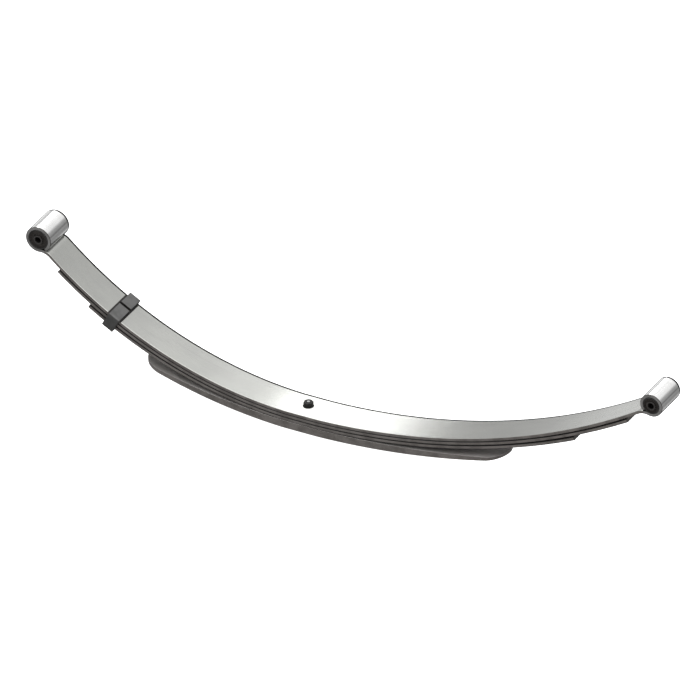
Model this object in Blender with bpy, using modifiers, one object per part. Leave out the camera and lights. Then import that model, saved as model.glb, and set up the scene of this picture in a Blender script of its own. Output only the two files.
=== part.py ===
"""Rear leaf spring of a light truck: three graduated leaves over one thick overload leaf.

Lengths are in metres. X runs along the spring with the front end at -X, Y across the leaves and Z up.
The origin is on the centre bolt's axis, in the plane where the overload leaf sits on the axle.
"""

import math

import bmesh
import bpy
from mathutils import Matrix, Vector

# Shared sizes
LEAF_WIDTH = 0.0762
CLEARANCE = 0.0003  # between pieces that touch
SEAT_RISE = 0.00045  # each leaf's level seat above the lowest point of its arcs
SEAT_RELIEF = 0.00005  # depth of the shallow relief round the bolt hole
RELIEF_REACHES = (0.0125, 0.0135)  # from the bolt to the relief's floor end and to its brim
EDGE_CHAMFER = 0.0008
BOLT_HOLE_RADIUS = 0.00585

# Leaf thicknesses, and the height of each leaf's top at its level seat
MAIN_THICKNESS = 0.0065
SECOND_THICKNESS = 0.0072
THIRD_THICKNESS = 0.0072
OVERLOAD_THICKNESS = 0.0159
OVERLOAD_TOP = OVERLOAD_THICKNESS
THIRD_TOP = OVERLOAD_TOP + CLEARANCE + THIRD_THICKNESS
SECOND_TOP = THIRD_TOP + CLEARANCE + SECOND_THICKNESS
MAIN_TOP = SECOND_TOP + CLEARANCE + MAIN_THICKNESS

# The front half and the rear half of each leaf: (front, rear)
MAIN_RADII = (0.808, 1.330)
SECOND_REACHES = (0.521, 0.703)
THIRD_REACHES = (0.455, 0.590)
OVERLOAD_REACHES = (0.342, 0.435)
OVERLOAD_TOP_RADII = (1.250, 1.980)
OVERLOAD_BOTTOM_RADII = (1.050, 1.650)
TIP_GAP = 0.0022  # between two leaves at the shorter one's tip

# Rolled eyes: (front, rear)
EYE_REACHES = (0.564, 0.754)
EYE_RADII = (0.0271, 0.0238)
EYE_LIFTS = (0.0025, 0.0)  # of an eye's axis above the arc of the main leaf's top
NECK_RADIUS = 0.030
EYE_TIP_GAP = 0.0005

# Eye bushings
SHELL_WALL = 0.0015
SLEEVE_RADIUS = 0.0095
SLEEVE_BORE = 0.00645
SLEEVE_STAND_OUT = 0.0012
RUBBER_RECESS = 0.0008

# Centre bolt and nut
BOLT_RADIUS = 0.0055
BOLT_HEAD_RADIUS = 0.0095
BOLT_HEAD_HEIGHT = 0.0095
BOLT_STUB = 0.0006
NUT_ACROSS_FLATS = 0.01746
NUT_HEIGHT = 0.0093

# Rebound clip, on the front half
CLIP_REACH = 0.399
CLIP_WIDTH = 0.0254
CLIP_THICKNESS = 0.0048
CLIP_SIDE_GAP = 0.0016
CLIP_TOP_GAP = 0.0006
CLIP_OUTER_BEND = 0.0032
CLIP_INNER_BEND = 0.0008
CLIP_NEAR_TAB = 0.0435
CLIP_FAR_TAB = 0.0405
RIVET_RADIUS = 0.0040
RIVET_HEAD_RADIUS = 0.0075
RIVET_HEAD_HEIGHT = 0.0035

# Anti-friction liners between the leaf tips
LINER_WIDTH = 0.056
LINER_LENGTH = 0.034
LINER_INSET = 0.008

FRONT, REAR = 0, 1
SIDES = ((FRONT, -1, "front"), (REAR, 1, "rear"))
ROUND_STEPS = 40


# ---------------------------------------------------------------- scene and materials


def clear_scene():
    """Removes every object, and makes the part's collection and the cutters'."""
    for old in list(bpy.data.objects):
        bpy.data.objects.remove(old, do_unlink=True)
    made = []
    for name in ("leaf_spring", "cutters"):
        group = bpy.data.collections.new(name)
        bpy.context.scene.collection.children.link(group)
        made.append(group)
    return made


def finish(name, colour, roughness, metallic):
    """A plain Principled material."""
    material = bpy.data.materials.new(name)
    material.use_nodes = True
    shader = material.node_tree.nodes["Principled BSDF"]
    shader.inputs["Base Color"].default_value = (*colour, 1.0)
    shader.inputs["Roughness"].default_value = roughness
    shader.inputs["Metallic"].default_value = metallic
    return material


def place(mesh, name, group, material=None):
    """Links a mesh as a named object, with smooth rounds and sharp corners."""
    thing = bpy.data.objects.new(name, mesh)
    group.objects.link(thing)
    mesh.shade_smooth()
    mesh.set_sharp_from_angle(angle=math.radians(35))
    if material:
        mesh.materials.append(material)
    return thing


# ---------------------------------------------------------------- shape helpers


def outline_mesh(points, half_depth, closed=True):
    """The mesh of a flat outline in XY, or of an open path, extruded along Z."""
    curve = bpy.data.curves.new("outline", "CURVE")
    curve.dimensions = "2D"
    curve.fill_mode = "BOTH" if closed else "NONE"
    curve.extrude = half_depth
    line = curve.splines.new("POLY")
    line.points.add(len(points) - 1)
    for corner, (x, y) in zip(line.points, points):
        corner.co = (x, y, 0.0, 1.0)
    line.use_cyclic_u = closed
    guide = bpy.data.objects.new("outline", curve)
    bpy.context.scene.collection.objects.link(guide)
    bpy.context.view_layer.update()
    mesh = bpy.data.meshes.new_from_object(guide.evaluated_get(bpy.context.evaluated_depsgraph_get()))
    bpy.data.objects.remove(guide, do_unlink=True)
    bpy.data.curves.remove(curve)
    shape = bmesh.new()
    shape.from_mesh(mesh)
    bmesh.ops.remove_doubles(shape, verts=shape.verts, dist=1e-6)
    if closed:
        bmesh.ops.recalc_face_normals(shape, faces=shape.faces)
    shape.to_mesh(mesh)
    shape.free()
    return mesh


def upright(mesh):
    """Turns an XY outline up into the XZ plane, so that its depth runs along Y."""
    mesh.transform(Matrix.Rotation(math.radians(90), 4, "X"))
    return mesh


def arc(centre, radius, start, end, steps):
    """Points on a circle from one angle to another, in radians."""
    angles = (start + (end - start) * i / steps for i in range(steps + 1))
    return [(centre[0] + radius * math.cos(a), centre[1] + radius * math.sin(a)) for a in angles]


def rounded(corners, steps=3):
    """An outline from (x, y, corner radius) triples."""
    points = []
    for i, (x, y, radius) in enumerate(corners):
        here = Vector((x, y))
        if radius == 0:
            points.append((x, y))
            continue
        back = (Vector(corners[i - 1][:2]) - here).normalized()
        ahead = (Vector(corners[(i + 1) % len(corners)][:2]) - here).normalized()
        half = back.angle(ahead) / 2
        middle = here + (back + ahead).normalized() * radius / math.sin(half)
        first = here + back * radius / math.tan(half) - middle
        last = here + ahead * radius / math.tan(half) - middle
        sweep = math.atan2(first.cross(last), first.dot(last))
        start = math.atan2(first.y, first.x)
        points += arc(middle, radius, start, start + sweep, steps)
    return points


def turned(name, profile, group, material, ring=False):
    """A shape turned about Z from (radius, height) points that run down its outer side."""
    mesh = bpy.data.meshes.new(name)
    edges = [(i, i + 1) for i in range(len(profile) - 1)]
    if ring:
        edges.append((len(profile) - 1, 0))
    mesh.from_pydata([(radius, 0.0, height) for radius, height in profile], edges, [])
    thing = place(mesh, name, group, material)
    screw = thing.modifiers.new("turn", "SCREW")
    screw.steps = screw.render_steps = ROUND_STEPS
    screw.use_merge_vertices = True
    screw.merge_threshold = 0.00001
    return thing


def cylinder(name, radius, bottom, top, group, segments=32):
    """A cylinder along Z through the origin, used as a cutter."""
    shape = bmesh.new()
    bmesh.ops.create_cone(
        shape,
        cap_ends=True,
        segments=segments,
        radius1=radius,
        radius2=radius,
        depth=top - bottom,
        matrix=Matrix.Translation((0, 0, (top + bottom) / 2)),
    )
    mesh = bpy.data.meshes.new(name)
    shape.to_mesh(mesh)
    shape.free()
    return as_cutter(place(mesh, name, group))


def as_cutter(thing):
    """Marks an object as a construction shape."""
    thing.hide_render = True
    thing.display_type = "WIRE"
    return thing


def combine(thing, cutter, operation="DIFFERENCE"):
    """Adds a Boolean modifier."""
    boolean = thing.modifiers.new(cutter.name, "BOOLEAN")
    boolean.operation = operation
    boolean.solver = "EXACT"
    boolean.object = cutter


def chamfer(thing, width=EDGE_CHAMFER):
    """Breaks the sharp edges."""
    bevel = thing.modifiers.new("edges", "BEVEL")
    bevel.width = width
    bevel.segments = 1
    bevel.limit_method = "ANGLE"
    bevel.angle_limit = math.radians(60)


# ---------------------------------------------------------------- arcs of the leaves


def arc_height(radius, x):
    """Height at x above the lowest point of an arc centred over the bolt."""
    return radius - math.sqrt(radius**2 - x**2)


def nested_radii(upper_radii, upper_thickness, reaches):
    """Top radii of the leaf below: clear at the bolt by CLEARANCE and at its tips by TIP_GAP."""
    found = []
    for radius, reach in zip(upper_radii, reaches):
        depth = upper_thickness + TIP_GAP
        tip = radius - math.sqrt((radius + depth) ** 2 - reach**2)
        height = tip + upper_thickness + CLEARANCE
        found.append((reach**2 + height**2) / (2 * height))
    return tuple(found)


SECOND_RADII = nested_radii(MAIN_RADII, MAIN_THICKNESS, SECOND_REACHES)
THIRD_RADII = nested_radii(SECOND_RADII, SECOND_THICKNESS, THIRD_REACHES)


def seat_angle(radius):
    """Angle from the vertical at which an arc has risen to the level seat."""
    return math.acos(1 - SEAT_RISE / radius)


def leaf_arc(radius, middle, end_angle, steps):
    """One half of a leaf surface, outward from the seat; middle is the height of the level seat."""
    centre = (0.0, middle - SEAT_RISE + radius)
    down = -math.pi / 2
    return arc(centre, radius, down + seat_angle(radius), down + end_angle, steps)


def full_path(front_half, rear_half, relief=-SEAT_RELIEF):
    """Joins two outward halves into one path from the front end to the rear end.

    The leaves bear on their level seats either side of the bolt, and a shallow relief keeps the hole's rim clear.
    """
    level = rear_half[0][1]
    floor, brim = RELIEF_REACHES
    middle = [(-brim, level), (-floor, level + relief), (floor, level + relief), (brim, level)]
    return [(-x, z) for x, z in reversed(front_half)] + middle + rear_half


# ---------------------------------------------------------------- leaves


def eye_centre(side):
    """(outward x, z) of an eye's axis, on or just above the arc of the main leaf's top."""
    reach, radius = EYE_REACHES[side], MAIN_RADII[side]
    return reach, MAIN_TOP - SEAT_RISE + arc_height(radius, reach) + EYE_LIFTS[side]


def main_half(side):
    """Mid-line of half the main leaf: its arc, the reverse bend under the eye, then the rolled eye."""
    half = MAIN_THICKNESS / 2
    radius = MAIN_RADII[side] + half
    eye_radius = EYE_RADII[side] - half
    reach, height = eye_centre(side)
    over_bolt = MAIN_TOP - SEAT_RISE + MAIN_RADII[side]
    to_neck = radius + NECK_RADIUS
    eye_to_neck = eye_radius + NECK_RADIUS
    to_eye = math.hypot(reach, over_bolt - height)
    squares = to_eye**2 + to_neck**2 - eye_to_neck**2
    swing = math.atan2(reach, over_bolt - height)
    swing -= math.acos(squares / (2 * to_eye * to_neck))
    neck = (to_neck * math.sin(swing), over_bolt - to_neck * math.cos(swing))
    toward_eye = math.atan2(height - neck[1], reach - neck[0])
    squares = eye_to_neck**2 + EYE_RADII[side] ** 2 - (NECK_RADIUS + half + EYE_TIP_GAP) ** 2
    opening = math.acos(squares / (2 * eye_to_neck * EYE_RADII[side]))
    start = toward_eye + math.pi
    path = leaf_arc(radius, MAIN_TOP - half, swing, 26)
    path += arc(neck, NECK_RADIUS, math.pi / 2 + swing, toward_eye, 6)[1:]
    path += arc((reach, height), eye_radius, start, start + 2 * math.pi - opening, 34)[1:]
    return path


def plain_half(radius, top, thickness, reach, steps=24):
    """Mid-line of half a leaf with a square-cut end."""
    middle_radius = radius + thickness / 2
    return leaf_arc(middle_radius, top - thickness / 2, math.asin(reach / middle_radius), steps)


def strip_leaf(name, path, thickness, group, hole, material):
    """A leaf of even thickness along a mid-line path, drilled for the centre bolt."""
    mesh = upright(outline_mesh(path, LEAF_WIDTH / 2, closed=False))
    leaf = place(mesh, name, group, material)
    wall = leaf.modifiers.new("thickness", "SOLIDIFY")
    wall.thickness = thickness
    wall.offset = 0.0
    wall.use_even_offset = True
    chamfer(leaf)
    combine(leaf, hole)
    return leaf


def overload_leaf(group, cutters, hole, material):
    """The thick lowest leaf: it thins toward its ends, which are half round seen from above."""
    front, rear = (
        leaf_arc(radius, OVERLOAD_TOP, math.asin(reach / radius), 16)
        for radius, reach in zip(OVERLOAD_TOP_RADII, OVERLOAD_REACHES)
    )
    top = full_path(front, rear)
    front, rear = (
        leaf_arc(radius, 0.0, math.asin(reach / radius), 16)
        for radius, reach in zip(OVERLOAD_BOTTOM_RADII, OVERLOAD_REACHES)
    )
    bottom = full_path(front, rear, SEAT_RELIEF)
    leaf = place(upright(outline_mesh(top + bottom[::-1], LEAF_WIDTH / 2)), "overload_leaf", group, material)
    half = LEAF_WIDTH / 2
    stadium = arc((OVERLOAD_REACHES[REAR] - half, 0), half, -math.pi / 2, math.pi / 2, 20)
    stadium += arc((half - OVERLOAD_REACHES[FRONT], 0), half, math.pi / 2, 3 * math.pi / 2, 20)
    plan = as_cutter(place(outline_mesh(stadium, 0.2), "overload_plan", cutters))
    combine(leaf, plan, "INTERSECT")
    chamfer(leaf)
    combine(leaf, hole)
    return leaf


# ---------------------------------------------------------------- fasteners, bushings, clip, liners


def centre_bolt(group, material):
    """Round-headed bolt: the head locates the spring in the axle seat."""
    top = MAIN_TOP + CLEARANCE + NUT_HEIGHT + BOLT_STUB
    head = -BOLT_HEAD_HEIGHT - CLEARANCE
    edge = 0.001
    profile = [
        (0, top),
        (BOLT_RADIUS - edge, top),
        (BOLT_RADIUS, top - edge),
        (BOLT_RADIUS, -CLEARANCE),
        (BOLT_HEAD_RADIUS, -CLEARANCE),
        (BOLT_HEAD_RADIUS, head + edge),
        (BOLT_HEAD_RADIUS - edge, head),
        (0, head),
    ]
    return turned("center_bolt", profile, group, material)


def centre_nut(group, cutters, hole, material):
    """Hexagon nut on the main leaf, its upper corners turned down."""
    bottom = MAIN_TOP + CLEARANCE
    corner_radius = NUT_ACROSS_FLATS / math.sqrt(3)
    shape = bmesh.new()
    bmesh.ops.create_cone(
        shape,
        cap_ends=True,
        segments=6,
        radius1=corner_radius,
        radius2=corner_radius,
        depth=NUT_HEIGHT,
        matrix=Matrix.Translation((0, 0, bottom + NUT_HEIGHT / 2)) @ Matrix.Rotation(math.radians(12), 4, "Z"),
    )
    mesh = bpy.data.meshes.new("center_bolt_nut")
    shape.to_mesh(mesh)
    shape.free()
    nut = place(mesh, "center_bolt_nut", group, material)
    drop = 0.0016
    crown = [
        (0, bottom + NUT_HEIGHT + drop),
        (NUT_ACROSS_FLATS / 2 - 0.0016, bottom + NUT_HEIGHT + drop),
        (corner_radius + 0.0008, bottom + NUT_HEIGHT - drop),
        (corner_radius + 0.0008, bottom - drop),
        (0, bottom - drop),
    ]
    combine(nut, as_cutter(turned("nut_crown", crown, cutters, None)), "INTERSECT")
    combine(nut, hole)
    return nut


def tube(name, side, inner, outer, half_length, edge, group, material):
    """One ring of an eye bushing, on the eye's axis."""
    profile = [
        (outer - edge, half_length),
        (outer, half_length - edge),
        (outer, edge - half_length),
        (outer - edge, -half_length),
        (inner + edge, -half_length),
        (inner, edge - half_length),
        (inner, half_length - edge),
        (inner + edge, half_length),
    ]
    ring = turned(name, profile, group, material, ring=True)
    reach, height = eye_centre(side)
    ring.location = (reach * SIDES[side][1], 0, height)
    ring.rotation_euler = (math.radians(90), 0, 0)
    return ring


def bushing(side, group, shell_steel, rubber, sleeve_steel):
    """Outer shell, rubber and inner sleeve of one eye."""
    end = SIDES[side][2]
    bore = EYE_RADII[side] - MAIN_THICKNESS
    shell_outer = bore - CLEARANCE
    shell_inner = shell_outer - SHELL_WALL
    half = LEAF_WIDTH / 2
    tube(f"{end}_bushing_shell", side, shell_inner, shell_outer, half, 0.0003, group, shell_steel)
    rubber_half = half - RUBBER_RECESS
    inner, outer = SLEEVE_RADIUS + CLEARANCE, shell_inner - CLEARANCE
    tube(f"{end}_bushing_rubber", side, inner, outer, rubber_half, 0.0006, group, rubber)
    sleeve_half = half + SLEEVE_STAND_OUT
    tube(f"{end}_bushing_sleeve", side, SLEEVE_BORE, SLEEVE_RADIUS, sleeve_half, 0.0004, group, sleeve_steel)


def clip_frame():
    """World matrix on the main leaf's top at the clip: X across the leaves, Y out of the leaf, Z along it."""
    angle = math.asin(CLIP_REACH / MAIN_RADII[FRONT])
    outward = Vector((math.sin(angle), 0, math.cos(angle)))
    across = Vector((0, 1, 0))
    height = MAIN_TOP - SEAT_RISE + arc_height(MAIN_RADII[FRONT], CLIP_REACH)
    turn = Matrix((across, outward, across.cross(outward))).transposed().to_4x4()
    return Matrix.Translation((-CLIP_REACH, 0, height)) @ turn


def depth_under_clip(radius, vertex):
    """Depth below the main leaf's top, along the clip, of an arc whose lowest point is at vertex."""
    frame = clip_frame()
    inward = -frame.col[1].to_3d()
    start = frame.translation - Vector((0, 0, vertex + radius))
    along = start.dot(inward)
    return math.sqrt(along**2 - start.length_squared + radius**2) - along


def third_surface_depths():
    """Depths of the third leaf's top and underside at the clip."""
    radius, vertex = THIRD_RADII[FRONT], THIRD_TOP - SEAT_RISE
    top = depth_under_clip(radius, vertex)
    return top, depth_under_clip(radius + THIRD_THICKNESS, vertex - THIRD_THICKNESS)


def rebound_clip(group, rivet_hole, material):
    """One strap bent round the three leaves, both ends folded over the main leaf."""
    inner = LEAF_WIDTH / 2 + CLIP_SIDE_GAP
    outer = inner + CLIP_THICKNESS
    tab_low = CLIP_TOP_GAP
    tab_high = tab_low + CLIP_THICKNESS
    base_high = -third_surface_depths()[1] - CLEARANCE
    base_low = base_high - CLIP_THICKNESS
    near_end, far_end = CLIP_NEAR_TAB - outer, outer - CLIP_FAR_TAB
    edge = 0.0004
    corners = [
        (-outer, base_low, CLIP_OUTER_BEND),
        (outer, base_low, CLIP_OUTER_BEND),
        (outer, tab_high, CLIP_OUTER_BEND),
        (far_end, tab_high, edge),
        (far_end, tab_low, edge),
        (inner, tab_low, CLIP_INNER_BEND),
        (inner, base_high, CLIP_INNER_BEND),
        (-inner, base_high, CLIP_INNER_BEND),
        (-inner, tab_low, CLIP_INNER_BEND),
        (near_end, tab_low, edge),
        (near_end, tab_high, edge),
        (-outer, tab_high, CLIP_OUTER_BEND),
    ]
    mesh = outline_mesh(rounded(corners), CLIP_WIDTH / 2)
    mesh.transform(clip_frame())
    clip = place(mesh, "rebound_clip", group, material)
    combine(clip, rivet_hole)
    return clip


def clip_rivet(group, material):
    """Rivet that holds the clip to the third leaf: its shank ends flush in the leaf."""
    top = -third_surface_depths()[0] - CLEARANCE
    under = -third_surface_depths()[1] - CLIP_THICKNESS - 2 * CLEARANCE
    dome = arc((0, under), 1.0, 0, -math.pi / 2, 5)
    profile = [(0, top), (RIVET_RADIUS, top), (RIVET_RADIUS, under)]
    profile += [(x * RIVET_HEAD_RADIUS, under + (z - under) * RIVET_HEAD_HEIGHT) for x, z in dome]
    profile[-1] = (0, profile[-1][1])
    rivet = turned("rebound_clip_rivet", profile, group, material)
    rivet.matrix_world = clip_frame() @ Matrix.Rotation(math.radians(-90), 4, "X")
    return rivet


def liner(name, side, upper, lower, reach, group, material):
    """Curved pad between two leaves near the lower one's tip.

    upper is the (radius, vertex height) of the underside above it, lower that of the top below it.
    """
    outboard, inboard = reach - LINER_INSET, reach - LINER_INSET - LINER_LENGTH
    sign = SIDES[side][1]
    steps = 5
    places = [inboard + (outboard - inboard) * i / steps for i in range(steps + 1)]
    above = [(sign * x, upper[1] + arc_height(upper[0], x) - CLEARANCE) for x in places]
    below = [(sign * x, lower[1] + arc_height(lower[0], x) + CLEARANCE) for x in places]
    return place(upright(outline_mesh(above + below[::-1], LINER_WIDTH / 2)), name, group, material)


def liners(group, material):
    """The four tip liners."""
    main_under = [r + MAIN_THICKNESS for r in MAIN_RADII]
    second_under = [r + SECOND_THICKNESS for r in SECOND_RADII]
    for side, _, end in SIDES:
        upper = (main_under[side], MAIN_TOP - SEAT_RISE - MAIN_THICKNESS)
        lower = (SECOND_RADII[side], SECOND_TOP - SEAT_RISE)
        liner(f"{end}_second_leaf_liner", side, upper, lower, SECOND_REACHES[side], group, material)
        upper = (second_under[side], SECOND_TOP - SEAT_RISE - SECOND_THICKNESS)
        lower = (THIRD_RADII[side], THIRD_TOP - SEAT_RISE)
        liner(f"{end}_third_leaf_liner", side, upper, lower, THIRD_REACHES[side], group, material)


def main():
    spring, cutters = clear_scene()
    leaf_steel = finish("leaf_steel", (0.62, 0.62, 0.61), 0.35, 0.9)
    overload_steel = finish("overload_steel", (0.30, 0.29, 0.28), 0.45, 0.8)
    clip_steel = finish("clip_steel", (0.16, 0.16, 0.16), 0.5, 0.7)
    bolt_steel = finish("bolt_steel", (0.06, 0.06, 0.06), 0.4, 0.8)
    shell_steel = finish("shell_steel", (0.05, 0.05, 0.05), 0.5, 0.6)
    sleeve_steel = finish("sleeve_steel", (0.22, 0.22, 0.21), 0.4, 0.9)
    rubber = finish("rubber", (0.02, 0.02, 0.02), 0.8, 0.0)
    liner_plastic = finish("liner_plastic", (0.04, 0.04, 0.04), 0.6, 0.0)

    bolt_hole = cylinder("bolt_hole", BOLT_HOLE_RADIUS, -0.02, 0.08, cutters)
    rivet_hole = cylinder("rivet_hole", RIVET_RADIUS + CLEARANCE, -0.06, -0.016, cutters)
    rivet_hole.matrix_world = clip_frame() @ Matrix.Rotation(math.radians(-90), 4, "X")

    path = full_path(main_half(FRONT), main_half(REAR))
    strip_leaf("main_leaf", path, MAIN_THICKNESS, spring, bolt_hole, leaf_steel)
    path = full_path(
        *(
            plain_half(radius, SECOND_TOP, SECOND_THICKNESS, reach)
            for radius, reach in zip(SECOND_RADII, SECOND_REACHES)
        )
    )
    strip_leaf("second_leaf", path, SECOND_THICKNESS, spring, bolt_hole, leaf_steel)
    path = full_path(
        *(
            plain_half(radius, THIRD_TOP, THIRD_THICKNESS, reach)
            for radius, reach in zip(THIRD_RADII, THIRD_REACHES)
        )
    )
    third = strip_leaf("third_leaf", path, THIRD_THICKNESS, spring, bolt_hole, leaf_steel)
    combine(third, rivet_hole)
    overload_leaf(spring, cutters, bolt_hole, overload_steel)

    centre_bolt(spring, bolt_steel)
    centre_nut(spring, cutters, bolt_hole, bolt_steel)
    for side, _, _ in SIDES:
        bushing(side, spring, shell_steel, rubber, sleeve_steel)
    rebound_clip(spring, rivet_hole, clip_steel)
    clip_rivet(spring, clip_steel)
    liners(spring, liner_plastic)


main()
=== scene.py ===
"""The looks of a light truck's rear leaf spring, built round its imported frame.

Lengths are in metres. X runs along the spring with the front end at -X, Y across the leaves and Z up.
"""

import logging
import math
from dataclasses import dataclass
from enum import Enum
from functools import cache
from typing import Callable

import bmesh
import bpy
from mathutils import Matrix, Vector


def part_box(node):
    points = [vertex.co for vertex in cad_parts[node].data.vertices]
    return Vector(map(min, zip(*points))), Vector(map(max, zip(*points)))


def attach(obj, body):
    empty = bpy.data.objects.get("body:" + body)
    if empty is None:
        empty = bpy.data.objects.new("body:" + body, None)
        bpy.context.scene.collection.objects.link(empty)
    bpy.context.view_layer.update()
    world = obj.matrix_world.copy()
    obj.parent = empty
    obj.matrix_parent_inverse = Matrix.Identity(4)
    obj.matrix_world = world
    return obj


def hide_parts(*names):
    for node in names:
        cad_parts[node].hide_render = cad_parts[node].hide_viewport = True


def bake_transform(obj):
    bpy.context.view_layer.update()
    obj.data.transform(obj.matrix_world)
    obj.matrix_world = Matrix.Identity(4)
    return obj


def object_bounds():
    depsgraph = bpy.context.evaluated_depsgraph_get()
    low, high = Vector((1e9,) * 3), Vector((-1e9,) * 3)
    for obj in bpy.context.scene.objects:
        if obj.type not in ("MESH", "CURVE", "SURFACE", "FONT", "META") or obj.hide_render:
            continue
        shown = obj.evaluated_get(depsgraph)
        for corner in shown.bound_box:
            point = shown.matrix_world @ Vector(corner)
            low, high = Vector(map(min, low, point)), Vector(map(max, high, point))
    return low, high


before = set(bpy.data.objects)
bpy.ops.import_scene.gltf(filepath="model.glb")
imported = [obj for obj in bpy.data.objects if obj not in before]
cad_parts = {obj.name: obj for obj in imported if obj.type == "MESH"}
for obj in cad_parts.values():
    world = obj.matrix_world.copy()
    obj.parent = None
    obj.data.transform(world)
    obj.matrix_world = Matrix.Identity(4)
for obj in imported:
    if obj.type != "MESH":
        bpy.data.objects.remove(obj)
CAD_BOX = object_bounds()

log = logging.getLogger("leaf_spring")

Test = Callable[[Vector, Vector], bool]
Socket = bpy.types.NodeSocket

# Driving dimensions that the pieces share
HALF_WIDTH = 0.0381
STACK_TOP = 0.0377
FRONT_ARC = 0.808
CLIP_REACH = 0.399
SEAT_RISE = 0.00045
CORNER = 0.0013
LOWER_CORNER = 0.0018
TIP_EDGE = 0.0006
BOLT_HOLE_RADIUS = 0.00585
DRILL_SIDES = 48
CLEARANCE = 0.0003
SMOOTH_ANGLE = math.radians(38)
QUARTER_TURN = math.radians(90)

# Least cosine between a normal or an edge and the way it is said to look or run
SQUARE_ON = 0.9


def facing(*way: float, least: float = SQUARE_ON) -> Test:
    """The test of the faces that look a given way."""
    return lambda middle, normal: normal.dot(Vector(way)) > least


def running(*way: float) -> Test:
    """The test of the edges that run a given way, forwards or backwards."""
    return lambda middle, along: abs(along.dot(Vector(way))) > SQUARE_ON


class End(Enum):
    """The two ends of the spring."""

    FRONT = -1
    REAR = 1

    @property
    def word(self) -> str:
        """The end's name in node and body names."""
        return self.name.lower()


@cache
def eye_middle(end: End) -> Vector:
    """The middle of an end's eye, on the bushing sleeve's axis."""
    low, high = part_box(f"{end.word}_bushing_sleeve")
    return (low + high) / 2


# ---------------------------------------------------------------- the bench: mesh work on one piece


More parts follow.
